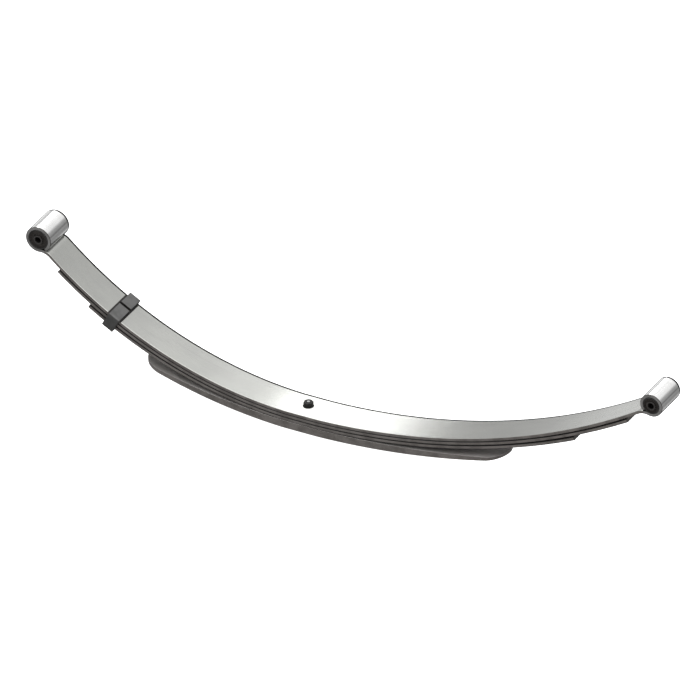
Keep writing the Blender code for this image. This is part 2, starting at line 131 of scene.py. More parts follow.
class Workpiece:
    """One mesh on the bench, shaped with the edit-mode tools and finished with applied modifiers."""

    def __init__(self, name: str, thing: bpy.types.Object) -> None:
        """Takes over a new object.

        Args:
            name: the piece's name.
            thing: the object that holds its mesh.
        """
        thing.name = name
        thing.data.name = name
        self.thing = thing

    @staticmethod
    def settle() -> bpy.types.Object:
        """Applies the new primitive's place, so that its object sits at the origin."""
        bpy.ops.object.transform_apply(location=True, rotation=True, scale=True)
        return bpy.context.object

    @classmethod
    def block(cls, name: str, low: tuple, high: tuple) -> "Workpiece":
        """Starts from a box.

        Args:
            name: the piece's name.
            low: the box's lowest corner.
            high: its highest corner.

        Returns:
            The new workpiece.
        """
        bpy.ops.object.select_all(action="DESELECT")
        low, high = Vector(low), Vector(high)
        bpy.ops.mesh.primitive_cube_add(size=1, location=(low + high) / 2, scale=high - low)
        return cls(name, cls.settle())

    @classmethod
    def rod(cls, name: str, radius: float, bottom: float, top: float, sides: int = 64) -> "Workpiece":
        """Starts from a cylinder round the Z axis.

        Args:
            name: the piece's name.
            radius: its radius.
            bottom: height of its lower end.
            top: height of its upper end.
            sides: number of its sides.

        Returns:
            The new workpiece.
        """
        bpy.ops.object.select_all(action="DESELECT")
        middle = (0, 0, (bottom + top) / 2)
        bpy.ops.mesh.primitive_cylinder_add(
            vertices=sides, radius=radius, depth=top - bottom, location=middle, end_fill_type="NGON"
        )
        return cls(name, cls.settle())

    def activate(self) -> None:
        """Makes this the only selected object, and the active one."""
        if bpy.context.object and bpy.context.object.mode == "EDIT":
            bpy.ops.object.mode_set(mode="OBJECT")
        bpy.ops.object.select_all(action="DESELECT")
        self.thing.select_set(True)
        bpy.context.view_layer.objects.active = self.thing

    def edit(self, mode: str = "FACE") -> None:
        """Enters edit mode with nothing selected.

        Args:
            mode: what is selected from here on: VERT, EDGE or FACE.
        """
        self.activate()
        bpy.ops.object.mode_set(mode="EDIT")
        bpy.ops.mesh.select_mode(type=mode)
        bpy.ops.mesh.select_all(action="DESELECT")

    def done(self) -> None:
        """Leaves edit mode."""
        bpy.ops.object.mode_set(mode="OBJECT")

    def pick_faces(self, test: Test) -> None:
        """Selects the faces that pass a test, in edit mode.

        Args:
            test: takes a face's middle and its normal.
        """
        bpy.ops.mesh.select_all(action="DESELECT")
        mesh = bmesh.from_edit_mesh(self.thing.data)
        for face in mesh.faces:
            face.select_set(test(face.calc_center_median(), face.normal))
        bmesh.update_edit_mesh(self.thing.data)

    def pick_edges(self, test: Test) -> None:
        """Selects the edges that pass a test, in edit mode.

        Args:
            test: takes an edge's middle and its direction.
        """
        bpy.ops.mesh.select_all(action="DESELECT")
        mesh = bmesh.from_edit_mesh(self.thing.data)
        for edge in mesh.edges:
            first, last = (corner.co for corner in edge.verts)
            edge.select_set(test((first + last) / 2, (last - first).normalized()))
        bmesh.update_edit_mesh(self.thing.data)

    def bevel(self, width: float, segments: int, affect: str = "EDGES") -> None:
        """Bevels what is selected: edges, or corners with VERTICES."""
        bpy.ops.mesh.bevel(offset=width, segments=segments, affect=affect)

    def spin(self, angle: float, centre: tuple, steps: int, axis: tuple = (0, 1, 0)) -> None:
        """Sweeps what is selected round a point; a positive angle goes from under it towards +X."""
        turn = {"steps": steps, "angle": angle, "center": centre, "axis": axis}
        bpy.ops.mesh.spin(**turn, dupli=False, use_auto_merge=False)

    def outward(self) -> None:
        """Merges doubles and points all faces outwards."""
        self.edit("VERT")
        bpy.ops.mesh.select_all(action="SELECT")
        bpy.ops.mesh.remove_doubles(threshold=1e-6)
        bpy.ops.mesh.normals_make_consistent(inside=False)
        self.done()

    def modify(self, kind: str, **settings: object) -> None:
        """Applies a modifier.

        Args:
            kind: its type.
            settings: its settings.
        """
        self.activate()
        modifier = self.thing.modifiers.new(kind, kind)
        for key, value in settings.items():
            setattr(modifier, key, value)
        bpy.ops.object.modifier_apply(modifier=modifier.name)

    def combine(self, other: "Workpiece", operation: str) -> None:
        """Cuts with another workpiece, joins it or keeps what both share, and uses it up."""
        self.modify("BOOLEAN", operation=operation, solver="EXACT", object=other.thing)
        bpy.data.objects.remove(other.thing, do_unlink=True)

    def round_edges(self, width: float, segments: int, angle: float) -> None:
        """Rounds the edges sharper than an angle in degrees."""
        limit = {"limit_method": "ANGLE", "angle_limit": math.radians(angle)}
        self.modify("BEVEL", width=width, segments=segments, use_clamp_overlap=True, **limit)

    def smooth(self) -> None:
        """Shades rounds smooth, keeps corners sharp and lets the broad faces stay flat."""
        self.activate()
        bpy.ops.object.shade_smooth_by_angle(angle=SMOOTH_ANGLE)
        self.modify("WEIGHTED_NORMAL", keep_sharp=True)

    def dress(self, finish: "Finish", *others: tuple) -> None:
        """Gives the piece its finishes.

        Args:
            finish: the one over most of the piece.
            others: pairs of another finish and the test of the faces that have it.
        """
        self.thing.data.materials.clear()
        self.thing.data.materials.append(finish.material())
        for index, (other, test) in enumerate(others, start=1):
            self.thing.data.materials.append(other.material())
            for face in self.thing.data.polygons:
                if test(face.center, face.normal):
                    face.material_index = index

    def place(self, matrix: Matrix) -> None:
        """Moves the mesh to its place, and leaves the object at the origin.

        Args:
            matrix: the place.
        """
        self.activate()
        self.thing.matrix_world = matrix
        bpy.ops.object.transform_apply(location=True, rotation=True, scale=True)


# ---------------------------------------------------------------- finishes


class Nodes:
    """Builds the nodes of a material or of the world."""

    def __init__(self, tree: bpy.types.NodeTree) -> None:
        """Takes over a node tree."""
        self.tree = tree

    def put(self, socket: Socket, value: object) -> None:
        """Links an output to a socket, or sets the socket's own value."""
        if isinstance(value, Socket):
            self.tree.links.new(value, socket)
        else:
            socket.default_value = value

    def add(self, kind: str, inputs: dict, **settings: object) -> bpy.types.Node:
        """Adds a node.

        Args:
            kind: its type.
            inputs: socket name or number to a value or an output.
            settings: its own settings.

        Returns:
            The node.
        """
        node = self.tree.nodes.new(kind)
        for key, value in settings.items():
            setattr(node, key, value)
        for key, value in inputs.items():
            self.put(node.inputs[key], value)
        return node

    def between(
        self, value: Socket, low: float, high: float, to: tuple = (0.0, 1.0), kind: str = "SMOOTHSTEP"
    ) -> Socket:
        """Maps a range from low to high to another, held at its ends."""
        inputs = {"Value": value, "From Min": low, "From Max": high, "To Min": to[0], "To Max": to[1]}
        return self.add("ShaderNodeMapRange", inputs, interpolation_type=kind).outputs[0]

    def sum(self, operation: str, first: object, second: object) -> Socket:
        """A Math node of two values."""
        return self.add("ShaderNodeMath", {0: first, 1: second}, operation=operation).outputs[0]

    def mix(self, share: Socket, first: object, second: object) -> Socket:
        """Mixes two colours, each an output or three numbers.

        Args:
            share: the second colour's share.
            first: the first colour.
            second: the second colour.

        Returns:
            The mixed colour.
        """
        node = self.add("ShaderNodeMix", {"Factor": share}, data_type="RGBA")
        for number, colour in ((6, first), (7, second)):
            self.put(node.inputs[number], colour if isinstance(colour, Socket) else (*colour, 1.0))
        return node.outputs[2]


class MaterialNodes(Nodes):
    """Builds one material's nodes, on the surface's own coordinates."""

    def __init__(self, name: str) -> None:
        """Starts a material.

        Args:
            name: the material's name.
        """
        self.material = bpy.data.materials.new(name)
        self.material.use_nodes = True
        super().__init__(self.material.node_tree)
        self.shader = self.tree.nodes["Principled BSDF"]
        self.object = self.add("ShaderNodeTexCoord", {}).outputs["Object"]

    def noise(self, stretch: tuple, detail: float = 4, roughness: float = 0.55) -> Socket:
        """Noise on object coordinates.

        Args:
            stretch: cycles per metre along X, Y and Z.
            detail: number of octaves.
            roughness: how strong the fine octaves are.

        Returns:
            The noise, about 0.3 to 0.7.
        """
        mapped = self.add("ShaderNodeMapping", {"Vector": self.object, "Scale": stretch}).outputs[0]
        inputs = {"Vector": mapped, "Scale": 1.0, "Detail": detail, "Roughness": roughness}
        return self.add("ShaderNodeTexNoise", inputs).outputs["Fac"]

    def axis(self, name: str) -> Socket:
        """One object coordinate: X, Y or Z."""
        return self.add("ShaderNodeSeparateXYZ", {0: self.object}).outputs[name]

    def bump(self, height: Socket, depth: float, before: Socket | None = None) -> Socket:
        """A bump of a real depth.

        Args:
            height: the relief, 0 to 1.
            depth: what 1 stands for, in metres.
            before: the bump that this one lies on.

        Returns:
            The bumped normal.
        """
        inputs = {"Height": height, "Distance": depth, "Strength": 1.0}
        if before:
            inputs["Normal"] = before
        return self.add("ShaderNodeBump", inputs).outputs[0]

    def finish(self, **sockets: object) -> bpy.types.Material:
        """Sets the shader's sockets, named with _ for a space.

        Args:
            sockets: values or outputs.

        Returns:
            The material.
        """
        for key, value in sockets.items():
            self.put(self.shader.inputs[key.replace("_", " ")], value)
        return self.material


class Finish:
    """What every finish has: a material, built once."""

    made: dict = {}

    def material(self) -> bpy.types.Material:
        """The finish's material, built when it is first asked for."""
        if self.name not in Finish.made:
            Finish.made[self.name] = self.build(MaterialNodes(self.name))
        return Finish.made[self.name]

    def build(self, nodes: MaterialNodes) -> bpy.types.Material:
        """Builds the material's nodes."""
        raise NotImplementedError


@dataclass(frozen=True)
class RolledSteel(Finish):
    """Rolled steel strip: fine lines along the strip, faint clouding, small pits."""

    name: str
    colour: tuple
    cloud: tuple
    roughness: float = 0.3
    metallic: float = 1.0
    line_depth: float = 0.00003
    pit_depth: float = 0.000012
    # Width and colour of the painted shade line along the +Y edge; 0 leaves it out
    rear_shade_width: float = 0.0
    shade_colour: tuple = (0.008, 0.008, 0.008)
    # Radius of the painted shadow ring round the centre nut
    nut_shadow_radius: float = 0.0112
    blur: float = 0.0003

    def build(self, nodes: MaterialNodes) -> bpy.types.Material:
        """Builds the material's nodes.

        Args:
            nodes: the new material's nodes.

        Returns:
            The material; where a rear width is given, it has painted shade: a dark line of that width along
            the +Y edge, and a painted shadow ring round the centre nut.
        """
        lines = nodes.noise((5, 1500, 5), detail=3)
        clouds = nodes.noise((14, 30, 14), detail=5)
        pits = nodes.noise((700, 700, 700), detail=2)
        colour = nodes.mix(nodes.between(clouds, 0.35, 0.65), self.colour, self.cloud)
        rough = nodes.between(lines, 0.3, 0.7, (self.roughness - 0.05, self.roughness + 0.06))
        metal = self.metallic
        # Painted shade: a dark line along the +Y top edge, joined by the painted shadow round the nut
        if self.rear_shade_width:
            edge = HALF_WIDTH - self.rear_shade_width
            wander = nodes.between(nodes.noise((60, 60, 60)), 0.3, 0.7, (-self.blur, self.blur))
            strayed = nodes.sum("ADD", nodes.axis("Y"), wander)
            dark = nodes.between(strayed, edge - self.blur, edge + self.blur)
            # Painted shadow ring round the centre nut, added to the painted shade line
            dark = nodes.sum("MAXIMUM", dark, self.nut_shadow(nodes, wander))
            colour = nodes.mix(dark, colour, self.shade_colour)
            rough = nodes.sum("ADD", rough, nodes.between(dark, 0.0, 1.0, (0.0, 0.3)))
            metal = nodes.between(dark, 0.0, 1.0, (self.metallic, 0.1))
        relief = nodes.bump(lines, self.line_depth)
        relief = nodes.bump(nodes.between(pits, 0.56, 0.72, (1.0, 0.0)), self.pit_depth, relief)
        base = {"Base_Color": colour, "Roughness": rough, "Metallic": metal}
        return nodes.finish(**base, Specular_IOR_Level=0.1, Normal=relief)

    def nut_shadow(self, nodes: MaterialNodes, wander: Socket) -> Socket:
        """Painted shadow: a dark ring on the strip under and just round the centre nut.

        Args:
            nodes: the material's nodes.
            wander: how the ring's edge strays.

        Returns:
            1 under and just round the nut, 0 elsewhere.
        """
        across, along = (nodes.sum("POWER", nodes.axis(name), 2.0) for name in "YX")
        away = nodes.sum("SQRT", nodes.sum("ADD", across, along), 0.0)
        strayed = nodes.sum("ADD", away, wander)
        return nodes.between(strayed, self.nut_shadow_radius + self.blur, self.nut_shadow_radius - self.blur)


@dataclass(frozen=True)
class Grained(Finish):
    """A surface with a fine grain and soft patches of another colour.

    grain and patches are cycles per metre and octaves, spread is where the patches fade in, and swing is
    how far the roughness strays.
    """

    name: str
    colour: tuple
    patch: tuple
    roughness: float = 0.45
    metallic: float = 0.7
    gloss: float = 0.5
    depth: float = 0.00005
    grain: tuple = (900, 3)
    patches: tuple = (45, 6)
    spread: tuple = (0.38, 0.66)
    swing: float = 0.07

    def build(self, nodes: MaterialNodes) -> bpy.types.Material:
        """Builds the material's nodes.

        Args:
            nodes: the new material's nodes.

        Returns:
            The material.
        """
        patches, grain = (nodes.noise((scale,) * 3, detail) for scale, detail in (self.patches, self.grain))
        colour = nodes.mix(nodes.between(patches, *self.spread), self.colour, self.patch)
        rough = nodes.between(grain, 0.3, 0.7, (self.roughness - self.swing, self.roughness + self.swing))
        base = {"Base_Color": colour, "Roughness": rough, "Metallic": self.metallic}
        return nodes.finish(**base, Specular_IOR_Level=self.gloss, Normal=nodes.bump(grain, self.depth))


@dataclass(frozen=True)
class DarkSteel(Grained):
    """Dark steel: grain, blotches and lighter rubbed spots; oxidised on the bolt, clip strap and bushings,
    and painted shade on the leaves' sides and corners, inside the eyes and on the clip's legs and edges.
    """


@dataclass(frozen=True)
class Moulded(Grained):
    """Moulded rubber or plastic: a fine matt skin with dusty patches."""

    roughness: float = 0.7
    metallic: float = 0.0
    gloss: float = 0.2
    depth: float = 0.00006
    grain: tuple = (1600, 2)
    patches: tuple = (70, 5)
    spread: tuple = (0.45, 0.75)
    swing: float = 0.08


# Width of the painted shade line along the +Y edge of the main leaf and its eyes
REAR_SHADE_WIDTH = 0.0054
STRIP = RolledSteel("strip_steel", (0.368, 0.372, 0.354), (0.35, 0.353, 0.338), 0.2, rear_shade_width=REAR_SHADE_WIDTH)
STRIP_LOWER = RolledSteel("lower_strip_steel", (0.2, 0.19, 0.18), (0.16, 0.152, 0.145), 0.38)
# Painted light: a lighter, glossier copy of the leaf steel on the outside of the rolled eyes
LIT_BARREL = RolledSteel(
    "eye_steel_painted_light", (0.76, 0.76, 0.755), (0.7, 0.7, 0.695), 0.15, pit_depth=0.000004, rear_shade_width=REAR_SHADE_WIDTH
)
# Painted shade: darker copies of the leaf steel on the narrow sides of the leaves and on the eyes' flat
# ends
SHADED_SIDE = DarkSteel("leaf_side_painted_shade", (0.135, 0.124, 0.117), (0.09, 0.082, 0.077), 0.5)
SHADED_EYE_SIDE = DarkSteel("eye_side_painted_shade", (0.17, 0.168, 0.165), (0.12, 0.118, 0.115), 0.5)
# Painted shade: near-black steel on leaf corners, inside the eyes, under the rebound clip and on the clip's
# edges
PAINTED_SHADE = DarkSteel("painted_shade_steel", (0.01, 0.0095, 0.009), (0.018, 0.017, 0.016), 0.6, metallic=0.1, gloss=0.2)
OVERLOAD = RolledSteel("overload_steel", (0.37, 0.352, 0.342), (0.28, 0.265, 0.255), 0.45, metallic=0.35)
# Painted shade: a darker copy of the strap steel for the clip's two legs
SHADED_CLIP_LEG = DarkSteel("clip_leg_painted_shade", (0.054, 0.054, 0.053), (0.04, 0.04, 0.039), 0.5)
CLIP = DarkSteel("clip_strap_steel", (0.095, 0.095, 0.094), (0.07, 0.07, 0.069), 0.5)
BOLT = DarkSteel(
    "black_bolt_steel", (0.014, 0.014, 0.014), (0.024, 0.023, 0.022), 0.55, metallic=0.4, gloss=0.2
)
SAWN = DarkSteel("bare_bolt_end", (0.24, 0.24, 0.237), (0.18, 0.18, 0.177), 0.35, metallic=1.0)
SHELL = DarkSteel("shell_steel", (0.016, 0.016, 0.016), (0.03, 0.03, 0.03), 0.45, metallic=0.3, gloss=0.3)
SLEEVE = DarkSteel("sleeve_steel", (0.04, 0.037, 0.036), (0.028, 0.026, 0.025), 0.42)
RUBBER = Moulded("rubber", (0.0125, 0.0105, 0.0095), (0.024, 0.021, 0.019))
LINER = Moulded("liner_plastic", (0.03, 0.03, 0.03), (0.045, 0.045, 0.045), 0.55)


# ---------------------------------------------------------------- leaves


SIDE_LEAST = 0.95
CORNER_LEAST = 0.15


def is_side(middle: Vector, normal: Vector) -> bool:
    """True on a leaf's narrow sides."""
    return abs(normal.y) > SIDE_LEAST


def is_corner(middle: Vector, normal: Vector) -> bool:
    """True on the rounded corners of a leaf's narrow sides."""
    return CORNER_LEAST < abs(normal.y) <= SIDE_LEAST


@dataclass
class LeafHalf:
    """Half of a leaf of even thickness, from the centre bolt outwards."""

    leaf: str
    end: End
    radius: float
    top: float
    thickness: float
    reach: float
    corner: float = CORNER
    step: float = 0.007

    @property
    def centre(self) -> float:
        """Height of the centre of the leaf's arc."""
        return self.top - SEAT_RISE + self.radius

    @property
    def middle_radius(self) -> float:
        """Radius of the leaf's mid-line."""
        return self.radius + self.thickness / 2

    @property
    def seat_angle(self) -> float:
        """Angle at which the arc leaves the level seat."""
        return math.acos(1 - SEAT_RISE / self.middle_radius)

    def end_angle(self) -> float:
        """Angle at which the arc ends."""
        return math.asin(self.reach / self.middle_radius)

    def steps(self, radius: float, angle: float) -> int:
        """Number of steps along an arc."""
        return max(6, round(abs(radius * angle) / self.step))

    def sweep(self, piece: Workpiece) -> None:
        """Draws the end face out along the leaf."""
        angle = self.end_angle() - self.seat_angle
        piece.spin(angle * self.end.value, (0, 0, self.centre), self.steps(self.middle_radius, angle))

    def bolt_hole(self) -> Workpiece:
        """The drill for the centre bolt."""
        return Workpiece.rod("drill", BOLT_HOLE_RADIUS, self.top - 0.03, self.top + 0.03, DRILL_SIDES)

    def build(self) -> Workpiece:
        """Models the half leaf.

        Returns:
            The closed piece, in place.
        """
        seat = self.middle_radius * math.sin(self.seat_angle) * self.end.value
        low = (min(0, seat), -HALF_WIDTH, self.top - self.thickness)
        high = (max(0, seat), HALF_WIDTH, self.top)
        piece = Workpiece.block(f"{self.leaf}_{self.end.word}_half", low, high)
        piece.edit("EDGE")
        piece.pick_edges(running(1, 0, 0))
        piece.bevel(self.corner, 4)
        bpy.ops.mesh.select_mode(type="FACE")
        piece.pick_faces(facing(self.end.value, 0, 0))
        self.sweep(piece)
        piece.bevel(TIP_EDGE, 2)
        piece.outward()
        piece.combine(self.bolt_hole(), "DIFFERENCE")
        self.score(piece)
        piece.smooth()
        return piece

    def score(self, piece: Workpiece) -> None:
        """Leaves the plain half leaf as it is."""

    def finish(self, piece: Workpiece) -> None:
        """Dresses the piece, bakes its place into the mesh and hides the leaf's CAD node."""
        # Painted shade: near-black on the rounded corners, and the darker side copy of the steel on the
        # narrow sides
        piece.dress(STRIP_LOWER, (PAINTED_SHADE, is_corner), (SHADED_SIDE, is_side))
        self.mount(piece)

    def mount(self, piece: Workpiece) -> None:
        """Bakes the piece's place into its mesh and hides the leaf's CAD node.

        Args:
            piece: the finished half leaf.
        """
        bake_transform(piece.thing)
        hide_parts(self.leaf)


@dataclass
class EyedHalf(LeafHalf):
    """Half of the main leaf, with the reverse bend and the rolled eye at its end."""

    eye_radius: float = 0.0
    neck_radius: float = 0.030
    neck_steps: int = 12
    roll_steps: int = 96
    tip_gap: float = 0.0005
    roll_slack: float = 0.0002
    clip_reach: float = 0.0
    # Length along the leaf of the painted shade under the rebound clip
    clip_shade_width: float = 0.0285

    @property
    def eye(self) -> Vector:
        """The middle of the eye, on the bushing sleeve's axis."""
        return eye_middle(self.end)

    def bend_geometry(self) -> tuple:
        """Works out the reverse bend.

        Returns:
            The angle where the arc ends, the neck's centre (outward x, z), the direction from the neck to
            the eye, and the part of a turn that the roll leaves open.
        """
        half = self.thickness / 2
        roll = self.eye_radius - half
        reach, height = abs(self.eye.x), self.eye.z
        to_neck = self.middle_radius + self.neck_radius
        eye_to_neck = roll + self.neck_radius
        to_eye = math.hypot(reach, self.centre - height)
        swing = math.atan2(reach, self.centre - height)
        swing -= math.acos((to_eye**2 + to_neck**2 - eye_to_neck**2) / (2 * to_eye * to_neck))
        neck = (to_neck * math.sin(swing), self.centre - to_neck * math.cos(swing))
        toward_eye = math.atan2(height - neck[1], reach - neck[0])
        near = self.neck_radius + half + self.tip_gap
        squares = eye_to_neck**2 + self.eye_radius**2 - near**2
        opening = math.acos(squares / (2 * eye_to_neck * self.eye_radius))
        return swing, neck, toward_eye, opening

    def sweep(self, piece: Workpiece) -> None:
        """Draws the end face out along the arc, back round the neck and up round the eye.

        Args:
            piece: the half leaf, with its end face selected.
        """
        sign = self.end.value
        swing, neck, toward_eye, opening = self.bend_geometry()
        angle = swing - self.seat_angle
        piece.spin(angle * sign, (0, 0, self.centre), self.steps(self.middle_radius, angle))
        back = QUARTER_TURN + swing - toward_eye
        piece.spin(-back * sign, (neck[0] * sign, 0, neck[1]), self.neck_steps)
        roll = 2 * math.pi - opening
        piece.spin(roll * sign, tuple(self.eye), self.roll_steps)

    def score(self, piece: Workpiece) -> None:
        """Cuts the leaf's faces at both ends of the painted shade under the rebound clip, if it has one."""
        if self.clip_reach:
            self.cut_clip_shade(piece)

    def from_eye(self, middle: Vector) -> Vector:
        """The way from the eye's axis to a place."""
        return Vector((middle.x - self.eye.x, 0, middle.z - self.eye.z))

    def on_roll(self, middle: Vector) -> bool:
        """True on the rolled eye, inside and outside."""
        return self.from_eye(middle).length < self.eye_radius + self.roll_slack

    def on_barrel(self, middle: Vector, normal: Vector) -> bool:
        """True on the outside of the rolled eye."""
        return self.on_roll(middle) and self.from_eye(middle).normalized().dot(normal) > 0.1

    def in_eye(self, middle: Vector, normal: Vector) -> bool:
        """True inside the rolled eye and on its cut end."""
        return self.on_roll(middle) and not self.on_barrel(middle, normal)

    def shaded_under_clip(self, middle: Vector, normal: Vector) -> bool:
        """True on the faces under the rebound clip, which get painted shade, when this half has the clip.
        """
        return self.clip_reach > 0 and abs(middle.x * self.end.value - self.clip_reach) < self.clip_shade_width / 2

    def in_corner_shade(self, middle: Vector, normal: Vector) -> bool:
        """True on the corners that get painted shade: the lower corners, and both corners of the eye."""
        below = normal.z < 0 or self.on_roll(middle)
        return is_corner(middle, normal) and below

    def finish(self, piece: Workpiece) -> None:
        """Dresses the piece, bakes its place into the mesh and hides the leaf's CAD node."""
        piece.dress(
            STRIP,
            # Painted shade on the leaf under the rebound clip
            (PAINTED_SHADE, self.shaded_under_clip),
            # Painted light: the lighter copy of the steel on the eye's outside
            (LIT_BARREL, self.on_barrel),
            # Painted shade inside the eye and on its cut end, on the lower corners and on the eye's corners
            (PAINTED_SHADE, self.in_eye),
            (PAINTED_SHADE, self.in_corner_shade),
            # Painted shade: the darker side copies of the steel on the front-facing faces, both narrow
            # sides and the eye's flat ends
            (SHADED_SIDE, facing(0, -1, 0, least=0.75)),
            (SHADED_SIDE, is_side),
            (SHADED_EYE_SIDE, lambda middle, normal: is_side(middle, normal) and self.on_roll(middle)),
        )
        self.mount(piece)

    def cut_clip_shade(self, piece: Workpiece) -> None:
        """Cuts the leaf's faces on both sides of the clip, where the painted shade under it starts and
        ends.

        Args:
            piece: the half leaf.
        """
        piece.edit("FACE")
        for side in (-1, 1):
            reach = (self.clip_reach + side * self.clip_shade_width / 2) * self.end.value
            angle = math.asin(reach / self.radius)
            place = (reach, 0, self.centre - math.sqrt(self.radius**2 - reach**2))
            bpy.ops.mesh.select_all(action="SELECT")
            bpy.ops.mesh.bisect(plane_co=place, plane_no=(math.cos(angle), 0, math.sin(angle)))
        piece.done()


@dataclass
class OverloadLeaf:
    """The thick lowest leaf: it thins toward its ends, which are half round seen from above."""

    top: float = 0.0159
    reaches: tuple = (0.342, 0.435)
    top_radii: tuple = (1.250, 1.980)
    bottom_radii: tuple = (1.050, 1.650)
    straight_steps: int = 24
    round_steps: int = 14
    corner: float = 0.0015

    def section(self, end: int, x: float) -> tuple:
        """The leaf's underside and top at a distance from the bolt.

        Args:
            end: 0 for the front, 1 for the rear.
            x: the distance.

        Returns:
            The two heights.
        """
        heights = []
        for radius, seat in ((self.bottom_radii[end], 0.0), (self.top_radii[end], self.top)):
            rise = radius - math.sqrt(radius**2 - x**2)
            heights.append(seat + max(0.0, rise - SEAT_RISE))
        return tuple(heights)

    def stations(self, end: int) -> list:
        """Where the sections stand, from the bolt out, each with its half width.

        Args:
            end: 0 for the front, 1 for the rear.

        Returns:
            Pairs of distance and half width.
        """
        seat = math.sqrt(2 * self.bottom_radii[end] * SEAT_RISE)
        round_start = self.reaches[end] - HALF_WIDTH
        count = self.straight_steps
        places = [(seat + (round_start - seat) * i / count, HALF_WIDTH) for i in range(count + 1)]
        for i in range(1, self.round_steps + 1):
            turn = (i - 0.5 * (i == self.round_steps)) / self.round_steps * math.pi / 2
            places.append((round_start + HALF_WIDTH * math.sin(turn), HALF_WIDTH * math.cos(turn)))
        return places

    def draw_out(self, piece: Workpiece, end: int, sign: int) -> None:
        """Draws one end of the block out, section by section.

        Args:
            piece: the block.
            end: 0 for the front, 1 for the rear.
            sign: -1 for the front, 1 for the rear.
        """
        piece.edit("FACE")
        piece.pick_faces(facing(sign, 0, 0))
        stations = self.stations(end)
        here = (stations[0][0], HALF_WIDTH, 0.0, self.top)
        for x, half_width in stations[1:]:
            low, high = self.section(end, x)
            shift = ((x - here[0]) * sign, 0, (low + high - here[2] - here[3]) / 2)
            bpy.ops.mesh.extrude_region_move(TRANSFORM_OT_translate={"value": shift})
            grow = (1, half_width / here[1], (high - low) / (here[3] - here[2]))
            bpy.ops.transform.resize(value=grow, center_override=(x * sign, 0, (low + high) / 2))
            here = (x, half_width, low, high)
        piece.done()

    def build(self) -> Workpiece:
        """Models the leaf and puts it in place.

        Returns:
            The closed piece.
        """
        front, rear = (self.stations(end)[0][0] for end in (0, 1))
        low, high = (-front, -HALF_WIDTH, 0), (rear, HALF_WIDTH, self.top)
        piece = Workpiece.block("overload_leaf_forging", low, high)
        self.draw_out(piece, 0, -1)
        self.draw_out(piece, 1, 1)
        piece.outward()
        piece.round_edges(self.corner, 4, 50)
        piece.combine(Workpiece.rod("drill", BOLT_HOLE_RADIUS, -0.02, 0.04, DRILL_SIDES), "DIFFERENCE")
        piece.smooth()
        # Painted shade: the darker side copy of the steel on the overload leaf's sides
        piece.dress(OVERLOAD, (SHADED_SIDE, lambda middle, normal: abs(normal.z) < 0.5))
        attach(piece.thing, "clamped_stack")
        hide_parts("overload_leaf")
        return piece


# ---------------------------------------------------------------- centre bolt


